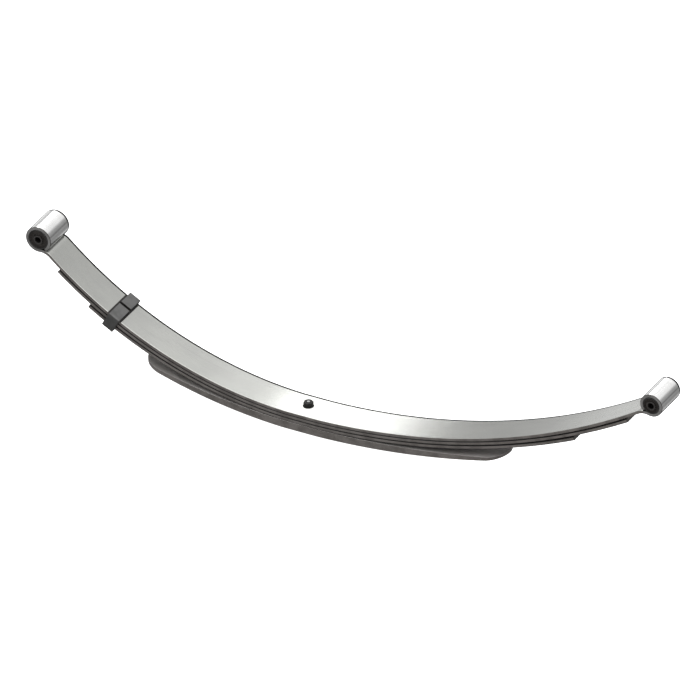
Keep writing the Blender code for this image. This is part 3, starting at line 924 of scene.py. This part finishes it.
@dataclass
class CentreBolt:
    """The round-headed bolt that lines the leaves up, and its hexagon nut."""

    radius: float = 0.0055
    head_radius: float = 0.0095
    head_height: float = 0.0095
    head_edge: float = 0.0012
    pitch: float = 0.00127
    thread_depth: float = 0.00075
    thread_length: float = 0.016
    thread_lap: float = 0.0005
    thread_steps: int = 32
    point_chamfer: float = 0.0023
    end_ring: float = 0.0012
    end_dish: float = 0.0002
    nut_flats: float = 0.01746
    nut_turn: float = 12.0
    nut_chamfer: float = 0.0019
    nut_edge: float = 0.00025
    bore_gap: float = 0.00015

    def thread(self, top: float) -> Workpiece:
        """The threaded end of the shank.

        Args:
            top: height of its upper end.

        Returns:
            A closed threaded rod.
        """
        turns = math.ceil(self.thread_length / self.pitch) + 2
        bottom = top - self.thread_length
        bpy.ops.object.select_all(action="DESELECT")
        bpy.ops.mesh.primitive_plane_add(size=1, location=(self.radius - self.thread_depth / 2, 0, bottom))
        piece = Workpiece("thread", Workpiece.settle())
        piece.edit("VERT")
        mesh = bmesh.from_edit_mesh(piece.thing.data)
        bmesh.ops.delete(mesh, geom=list(mesh.verts), context="VERTS")
        root, crest = self.radius - self.thread_depth, self.radius
        profile = ((root, 0.0), (root, 0.12), (crest, 0.45), (crest, 0.55), (root, 0.88), (root, 1.0))
        last = None
        for x, share in profile:
            corner = mesh.verts.new((x, 0, top + (share + 1.0) * self.pitch))
            corner.select_set(True)
            if last:
                mesh.edges.new((last, corner))
            last = corner
        mesh.select_flush(True)
        bmesh.update_edit_mesh(piece.thing.data)
        bpy.ops.mesh.screw(steps=self.thread_steps, turns=turns, center=(0, 0, 0), axis=(0, 0, 1))
        bpy.ops.mesh.select_all(action="SELECT")
        bpy.ops.mesh.remove_doubles(threshold=1e-5)
        for height, up in ((bottom, -1), (top, 1)):
            bpy.ops.mesh.select_all(action="SELECT")
            plane = {"plane_co": (0, 0, height), "plane_no": (0, 0, up)}
            bpy.ops.mesh.bisect(**plane, use_fill=True, clear_outer=True)
        piece.outward()
        return piece

    def build(self) -> list:
        """Models the bolt and the nut in place.

        Returns:
            Both pieces.
        """
        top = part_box("center_bolt")[1].z
        bottom = -self.head_height - CLEARANCE
        bolt = Workpiece.rod("center_bolt_shank", self.head_radius, bottom, -CLEARANCE)
        bolt.edit("FACE")
        bolt.pick_faces(facing(0, 0, -1))
        bolt.bevel(self.head_edge, 3)
        bolt.pick_faces(facing(0, 0, 1))
        bpy.ops.mesh.inset(thickness=self.head_radius - self.radius)
        length = top - self.thread_length + self.thread_lap + CLEARANCE
        bpy.ops.mesh.extrude_region_move(TRANSFORM_OT_translate={"value": (0, 0, length)})
        bolt.outward()
        thread = self.thread(top)
        point = Workpiece.rod("point", self.radius + 0.001, top - self.thread_length - 0.002, top)
        point.edit("FACE")
        point.pick_faces(facing(0, 0, 1))
        point.bevel(self.point_chamfer, 1)
        point.pick_faces(facing(0, 0, 1))
        bpy.ops.mesh.inset(thickness=self.end_ring, depth=-self.end_dish)
        point.done()
        thread.combine(point, "INTERSECT")
        bolt.combine(thread, "UNION")
        bolt.smooth()
        floor = top - self.end_dish
        bolt.dress(
            BOLT, (SAWN, lambda middle, normal: abs(middle.z - floor) < 1e-5 and normal.z > SQUARE_ON)
        )
        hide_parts("center_bolt")
        nut = self.nut()
        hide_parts("center_bolt_nut")
        for piece in (bolt, nut):
            piece.thing.visible_glossy = False
            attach(piece.thing, "clamped_stack")
        return [bolt, nut]

    def nut(self) -> Workpiece:
        """The hexagon nut, its corners turned down above and below.

        Returns:
            The piece, in place.
        """
        low, high = (corner.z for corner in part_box("center_bolt_nut"))
        corner_radius = self.nut_flats / math.sqrt(3)
        nut = Workpiece.rod("center_bolt_hex_nut", corner_radius, low, high, 6)
        nut.place(Matrix.Rotation(math.radians(self.nut_turn), 4, "Z"))
        crown = Workpiece.rod("crown", corner_radius + 0.0002, low, high, 96)
        crown.edit("FACE")
        crown.pick_faces(lambda middle, normal: abs(normal.z) > SQUARE_ON)
        crown.bevel(self.nut_chamfer, 1)
        crown.done()
        nut.combine(crown, "INTERSECT")
        bore = Workpiece.rod("bore", self.radius + self.bore_gap, low - 0.002, high + 0.002)
        nut.combine(bore, "DIFFERENCE")
        nut.round_edges(self.nut_edge, 2, 25)
        nut.smooth()
        nut.dress(BOLT)
        return nut


# ---------------------------------------------------------------- bushings


@dataclass
class EyeBushing:
    """The pressed shell, the moulded rubber and the inner sleeve of one eye."""

    end: End
    bore_radius: float = 0.00645
    shell_wall: float = 0.0015
    sides: int = 128
    hard_edge: float = 0.0004
    soft_edge: float = 0.0006
    lip: float = 0.0011
    dish: float = 0.0012
    dish_slope: float = 0.00072

    def ring(self, name: str, inner: float, outer: float, half: float, edge: float) -> Workpiece:
        """A tube along Y, not yet moved to the eye.

        Args:
            name: the piece's name.
            inner: its bore's radius.
            outer: its outer radius.
            half: half its length.
            edge: how much its edges are rounded.

        Returns:
            The tube, round the Z axis.
        """
        piece = Workpiece.block(name, (inner, 0, -half), (outer, 0.001, half))
        piece.edit("FACE")
        piece.pick_faces(lambda middle, normal: normal.y > -SQUARE_ON)
        bpy.ops.mesh.delete(type="FACE")
        bpy.ops.mesh.select_mode(type="VERT")
        bpy.ops.mesh.select_all(action="SELECT")
        piece.bevel(edge, 3, "VERTICES")
        bpy.ops.mesh.select_all(action="SELECT")
        bpy.ops.mesh.delete(type="ONLY_FACE")
        bpy.ops.mesh.select_all(action="SELECT")
        piece.spin(2 * math.pi, (0, 0, 0), self.sides, (0, 0, 1))
        piece.outward()
        return piece

    def dished(self, piece: Workpiece) -> None:
        """Presses a shallow dish with a lip either side into both ends of the rubber.

        Args:
            piece: the rubber, still round the Z axis.
        """
        for up in (-1, 1):
            piece.edit("FACE")
            piece.pick_faces(facing(0, 0, up, least=0.99))
            bpy.ops.mesh.inset(thickness=self.lip, depth=0)
            bpy.ops.mesh.inset(thickness=self.dish_slope, depth=-self.dish)
            piece.done()

    def build(self) -> list:
        """Models the three pieces and puts them in place.

        Returns:
            The shell, the rubber and the sleeve.
        """
        word = self.end.word
        pieces = []
        to_eye = Matrix.Translation(eye_middle(self.end)) @ Matrix.Rotation(QUARTER_TURN, 4, "X")
        radii = {}
        for part in ("shell", "rubber", "sleeve"):
            low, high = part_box(f"{word}_bushing_{part}")
            radii[part] = ((high.x - low.x) / 2, (high.y - low.y) / 2)
        shell_bore = radii["shell"][0] - self.shell_wall
        rubber_bore = radii["sleeve"][0] + CLEARANCE
        plan = (
            ("shell", shell_bore, self.hard_edge, SHELL, "bushing_shell_steel", f"{word}_end"),
            ("rubber", rubber_bore, self.soft_edge, RUBBER, "bushing_rubber", f"{word}_end"),
            ("sleeve", self.bore_radius, self.hard_edge, SLEEVE, "sleeve_steel", f"{word}_sleeve"),
        )
        for part, inner, edge, finish, slot, body in plan:
            outer, half = radii[part]
            piece = self.ring(f"{word}_eye_{part}", inner, outer, half, edge)
            if part == "rubber":
                self.dished(piece)
            piece.place(to_eye)
            piece.smooth()
            piece.dress(finish)
            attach(piece.thing, body)
            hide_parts(f"{word}_bushing_{part}")
            pieces.append(piece)
        return pieces


# ---------------------------------------------------------------- rebound clip


@dataclass
class ReboundClip:
    """The strap bent round the leaves of the front half, and the rivet that holds it."""

    width: float = 0.0254
    strap: float = 0.0048
    side_gap: float = 0.0016
    top_gap: float = 0.0006
    outer_bend: float = 0.0032
    inner_bend: float = 0.0008
    near_tab: float = 0.0435
    far_tab: float = 0.0405
    sheared_edge: float = 0.0013
    cut_slack: float = 0.001
    rivet_radius: float = 0.0040
    rivet_head_radius: float = 0.0075
    rivet_dome: float = 0.003325

    @property
    def inner(self) -> float:
        """From the strap's middle to the inside of its legs."""
        return HALF_WIDTH + self.side_gap

    @property
    def cut_ends(self) -> tuple:
        """Where the two folded ends stop, across the leaves."""
        outer = self.inner + self.strap
        return self.near_tab - outer, outer - self.far_tab

    def to_spring(self) -> Matrix:
        """Places the clip's axes on the main leaf: X across the leaves, Y out of the leaf, Z along it.

        Returns:
            The place.
        """
        angle = math.asin(CLIP_REACH / FRONT_ARC)
        outward = Vector((math.sin(angle), 0, math.cos(angle)))
        across = Vector((0, 1, 0))
        height = STACK_TOP - SEAT_RISE + FRONT_ARC - math.sqrt(FRONT_ARC**2 - CLIP_REACH**2)
        turn = Matrix((across, outward, across.cross(outward))).transposed().to_4x4()
        return Matrix.Translation((-CLIP_REACH, 0, height)) @ turn

    def in_edge_shade(self, middle: Vector, normal: Vector) -> bool:
        """Tells where painted shade darkens the strap's edges.

        Args:
            middle: a face's middle.
            normal: its normal.

        Returns:
            True on the strap's rounded edges and on its two cut ends.
        """
        turned = self.to_spring().inverted()
        place = turned @ middle
        facing_along = abs((turned.to_3x3() @ normal).z)
        near, far = self.cut_ends
        at_cut = place.y > 0 and near - self.cut_slack < place.x < far + self.cut_slack
        return 0.2 < facing_along < 0.96 or at_cut

    def heights(self, node: str) -> list:
        """How far a node's corners stand over the main leaf's top, square to the clip."""
        inverse = self.to_spring().inverted()
        return [(inverse @ corner.co).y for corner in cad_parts[node].data.vertices]

    def bar(self, name: str, low: tuple, high: tuple, bend: float, segments: int) -> Workpiece:
        """A bar along the clip's own Z axis with rounded long edges.

        Args:
            name: the piece's name.
            low: the bar's lowest corner.
            high: its highest corner.
            bend: the rounding's width.
            segments: its number of steps.

        Returns:
            The bar.
        """
        piece = Workpiece.block(name, low, high)
        piece.edit("EDGE")
        piece.pick_edges(running(0, 0, 1))
        piece.bevel(bend, segments)
        piece.done()
        return piece

    def build(self) -> list:
        """Models the clip and its rivet and puts them in place.

        Returns:
            Both pieces.
        """
        inner, outer = self.inner, self.inner + self.strap
        top = self.top_gap + self.strap
        base_low = min(self.heights("rebound_clip"))
        base_high = base_low + self.strap
        half = self.width / 2
        body = (-outer, base_low, -half), (outer, top, half)
        clip = self.bar("rebound_clip_strap", *body, self.outer_bend, 6)
        window = (-inner, base_high, -2 * half), (inner, self.top_gap, 2 * half)
        clip.combine(self.bar("window", *window, self.inner_bend, 3), "DIFFERENCE")
        near_end, far_end = self.cut_ends
        slot = (near_end, self.top_gap - 0.001, -2 * half), (far_end, 2 * top, 2 * half)
        clip.combine(Workpiece.block("slot", *slot), "DIFFERENCE")
        hole = Workpiece.rod("drill", self.rivet_radius + CLEARANCE, -0.01, 0.01, DRILL_SIDES)
        hole.place(Matrix.Translation((0, base_low, 0)) @ Matrix.Rotation(QUARTER_TURN, 4, "X"))
        clip.combine(hole, "DIFFERENCE")
        clip.round_edges(self.sheared_edge, 3, 50)
        clip.place(self.to_spring())
        clip.smooth()
        clip.dress(
            # Painted shade: the legs' darker copy of the strap steel, and near-black on the rounded edges
            # and cut ends
            CLIP, (SHADED_CLIP_LEG, lambda middle, normal: abs(normal.y) > SQUARE_ON), (PAINTED_SHADE, self.in_edge_shade)
        )
        rivet = self.rivet(base_low)
        for piece, node in ((clip, "rebound_clip"), (rivet, "rebound_clip_rivet")):
            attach(piece.thing, "front_end")
            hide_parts(node)
        return [clip, rivet]

    def rivet(self, base_low: float) -> Workpiece:
        """The rivet, with a domed head under the clip.

        Args:
            base_low: the clip's underside, in the clip's own axes.

        Returns:
            The piece, in place.
        """
        heights = self.heights("rebound_clip_rivet")
        head = base_low - CLEARANCE
        rivet = Workpiece.rod("clip_rivet", self.rivet_head_radius, min(heights), head)
        rivet.edit("FACE")
        rivet.pick_faces(facing(0, 0, -1))
        rivet.bevel(self.rivet_dome, 8)
        rivet.pick_faces(facing(0, 0, 1))
        bpy.ops.mesh.inset(thickness=self.rivet_head_radius - self.rivet_radius)
        bpy.ops.mesh.extrude_region_move(TRANSFORM_OT_translate={"value": (0, 0, max(heights) - head)})
        rivet.outward()
        rivet.place(self.to_spring() @ Matrix.Rotation(-QUARTER_TURN, 4, "X"))
        rivet.smooth()
        rivet.dress(CLIP)
        return rivet


# ---------------------------------------------------------------- studio

WHITE = (1, 1, 1, 1)


@dataclass
class Studio:
    """Pale floor, soft lights and the camera."""

    azimuth: float = 27.8
    elevation: float = 31.2
    view_width: float = 1.3357
    lens: float = 1600.0
    sensor: float = 36.0
    aim_right: float = 0.07925
    aim_up: float = 0.1068
    aim_height: float = 0.03725
    left_sky: tuple = (
        (-1.0, 0.3), (-0.6, 0.5), (-0.3, 1.1), (-0.12, 1.3), (-0.04, 1.15), (0.06, 0.82),
        (0.18, 0.7), (0.3, 0.75), (0.45, 0.95), (0.66, 1.1), (0.76, 2.8), (1.0, 2.8),
    )
    right_sky: tuple = (
        (-1.0, 0.2), (-0.66, 0.8), (-0.55, 0.35), (-0.39, 0.3), (-0.24, 0.37), (-0.09, 0.18), (0.06, 0.38),
        (0.22, 0.42), (0.33, 0.6), (0.43, 1.05), (0.66, 1.15), (0.76, 2.8), (1.0, 2.8),
    )
    right_side: tuple = (-0.1, 0.25)
    flag_height: float = -36.0
    flag: tuple = (0.885, 0.9)
    flag_colour: tuple = (0.01, 0.01, 0.01)
    backdrop: float = 1.05
    floor_radius: float = 30.0
    floor_drop: float = 0.0005
    light_distance: float = 9.0
    light_aim: float = 0.1

    def axes(self) -> tuple:
        """The camera's right, up and back directions.

        Returns:
            The three directions.
        """
        a, e = math.radians(self.azimuth), math.radians(self.elevation)
        back = Vector((math.sin(a) * math.cos(e), -math.cos(a) * math.cos(e), math.sin(e)))
        right = Vector((math.cos(a), math.sin(a), 0))
        return right, back.cross(right), back

    def camera(self) -> None:
        """Adds the camera, far off with a long lens."""
        right, up, back = self.axes()
        aim = Vector((0, 0, self.aim_height)) + right * self.aim_right + up * self.aim_up
        data = bpy.data.cameras.new("camera")
        data.lens = self.lens
        data.sensor_width = self.sensor
        distance = self.view_width * self.lens / self.sensor
        data.clip_start, data.clip_end = distance / 10, distance * 3
        camera = bpy.data.objects.new("camera", data)
        bpy.context.scene.collection.objects.link(camera)
        turn = Matrix((right, up, back)).transposed().to_4x4()
        camera.matrix_world = Matrix.Translation(aim + back * distance) @ turn
        bpy.context.scene.camera = camera

    @property
    def brightest(self) -> float:
        """The room's strongest level."""
        return max(level for _, level in self.left_sky + self.right_sky)

    def ramp(self, nodes: Nodes, height: Socket, sky: tuple) -> Socket:
        """The room's brightness by height.

        Args:
            nodes: the world's nodes.
            height: the direction's height, 0 straight down to 1 straight up.
            sky: pairs of the direction's Z and the level there.

        Returns:
            The level as a share of the brightest.
        """
        node = nodes.add("ShaderNodeValToRGB", {0: height})
        stops = node.color_ramp.elements
        while len(stops) < len(sky):
            stops.new(0.5)
        for stop, (z, level) in zip(stops, sky):
            stop.position = (z + 1) / 2
            stop.color = (level / self.brightest,) * 3 + (1,)
        return node.outputs[0]

    def world(self) -> None:
        """A pale room: bright overhead, darker on the right, with a black flag low behind the spring."""
        world = bpy.data.worlds.new("room")
        bpy.context.scene.world = world
        world.use_nodes = True
        nodes = Nodes(world.node_tree)
        direction = nodes.add("ShaderNodeTexCoord", {}).outputs["Generated"]
        split = nodes.add("ShaderNodeSeparateXYZ", {0: direction}).outputs
        height = nodes.between(split["Z"], -1.0, 1.0, kind="LINEAR")
        to_right = nodes.between(split["X"], *self.right_side)
        left, right = (self.ramp(nodes, height, sky) for sky in (self.left_sky, self.right_sky))
        low, turn = math.radians(self.flag_height), math.radians(self.azimuth)
        toward = (-math.sin(turn) * math.cos(low), math.cos(turn) * math.cos(low), math.sin(low))
        behind = nodes.add("ShaderNodeVectorMath", {0: direction, 1: toward}, operation="DOT_PRODUCT")
        flagged = nodes.between(behind.outputs["Value"], *self.flag)
        room = world.node_tree.nodes["Background"]
        lit = nodes.mix(flagged, nodes.mix(to_right, left, right), self.flag_colour)
        nodes.put(room.inputs["Color"], lit)
        nodes.put(room.inputs["Strength"], self.brightest)
        white = nodes.add("ShaderNodeBackground", {"Color": WHITE, "Strength": self.backdrop})
        seen = nodes.add("ShaderNodeLightPath", {}).outputs["Is Camera Ray"]
        shown = nodes.add("ShaderNodeMixShader", {0: seen, 1: room.outputs[0], 2: white.outputs[0]})
        nodes.put(world.node_tree.nodes["World Output"].inputs["Surface"], shown.outputs[0])

    def floor(self) -> None:
        """A wide pale floor just under the bolt's head."""
        bpy.ops.object.select_all(action="DESELECT")
        place = (0, 0, CAD_BOX[0].z - self.floor_drop)
        bpy.ops.mesh.primitive_circle_add(
            vertices=96, radius=self.floor_radius, fill_type="NGON", location=place
        )
        floor = bpy.context.object
        floor.name = "floor"
        nodes = MaterialNodes("floor_paper")
        tone = nodes.mix(nodes.noise((2, 2, 2), detail=2), (0.4, 0.4, 0.4), (0.42, 0.42, 0.42))
        glow = {"Emission_Color": WHITE, "Emission_Strength": 1.1}
        floor.data.materials.append(nodes.finish(Base_Color=tone, Roughness=0.9, **glow))
        floor.visible_glossy = False

    def softbox(self, name: str, azimuth: float, elevation: float, size: tuple, level: float) -> None:
        """A rectangular light aimed at the spring.

        Args:
            name: the light's name.
            azimuth: its bearing, in degrees from +Y towards +X.
            elevation: its height above the horizon, in degrees.
            size: its width and height, in degrees as seen from the spring.
            level: its radiance.
        """
        a, e = math.radians(azimuth), math.radians(elevation)
        toward = Vector((math.sin(a) * math.cos(e), math.cos(a) * math.cos(e), math.sin(e)))
        data = bpy.data.lights.new(name, "AREA")
        data.shape = "RECTANGLE"
        data.size, data.size_y = (2 * self.light_distance * math.tan(math.radians(s) / 2) for s in size)
        data.energy = level * math.pi * data.size * data.size_y
        light = bpy.data.objects.new(name, data)
        bpy.context.scene.collection.objects.link(light)
        light.location = toward * self.light_distance + Vector((0, 0, self.light_aim))
        light.rotation_euler = toward.to_track_quat("Z", "Y").to_euler()
        light.visible_camera = False

    def build(self) -> None:
        """Sets the whole studio up."""
        bpy.context.scene.view_settings.view_transform = "Standard"
        self.camera()
        self.world()
        self.floor()
        self.softbox("back_softbox", -31.5, 29.1, (13, 14.8), 3.2)
        self.softbox("back_fill", -18.5, 31, (13, 20), 0.7)


# ---------------------------------------------------------------- the spring


def build_leaves() -> list:
    """Models the four leaves.

    Returns:
        Their pieces.
    """
    main = {"leaf": "main_leaf", "top": STACK_TOP, "thickness": 0.0065, "reach": 0.0}
    halves = [
        EyedHalf(end=End.FRONT, radius=FRONT_ARC, eye_radius=0.0271, clip_reach=CLIP_REACH, **main),
        EyedHalf(end=End.REAR, radius=1.330, eye_radius=0.0238, **main),
    ]
    plans = (
        ("second_leaf", 0.0309, 0.0072, ((0.521, 0.8231), (0.703, 1.3497))),
        ("third_leaf", 0.0234, 0.0072, ((0.455, 0.8425), (0.590, 1.3766))),
    )
    for leaf, top, thickness, arcs in plans:
        for end, (reach, radius) in zip(End, arcs):
            halves.append(LeafHalf(leaf, end, radius, top, thickness, reach, LOWER_CORNER))
    pieces = []
    for half in halves:
        pieces.append(half.build())
        half.finish(pieces[-1])
    pieces.append(OverloadLeaf().build())
    return pieces


def dress_liners() -> None:
    """Gives the thin pads between the leaves their finish."""
    for name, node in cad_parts.items():
        if name.endswith("_liner"):
            node.data.materials.clear()
            node.data.materials.append(LINER.material())


def main() -> None:
    """Builds the studio and the spring, piece by piece."""
    logging.basicConfig(level=logging.INFO, format="%(name)s: %(message)s")
    Studio().build()
    pieces = build_leaves()
    pieces += CentreBolt().build()
    for end in End:
        pieces += EyeBushing(end).build()
    pieces += ReboundClip().build()
    dress_liners()
    for piece in pieces:
        log.info("%s: %d faces", piece.thing.name, len(piece.thing.data.polygons))
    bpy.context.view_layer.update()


if __name__ == "__main__":
    main()
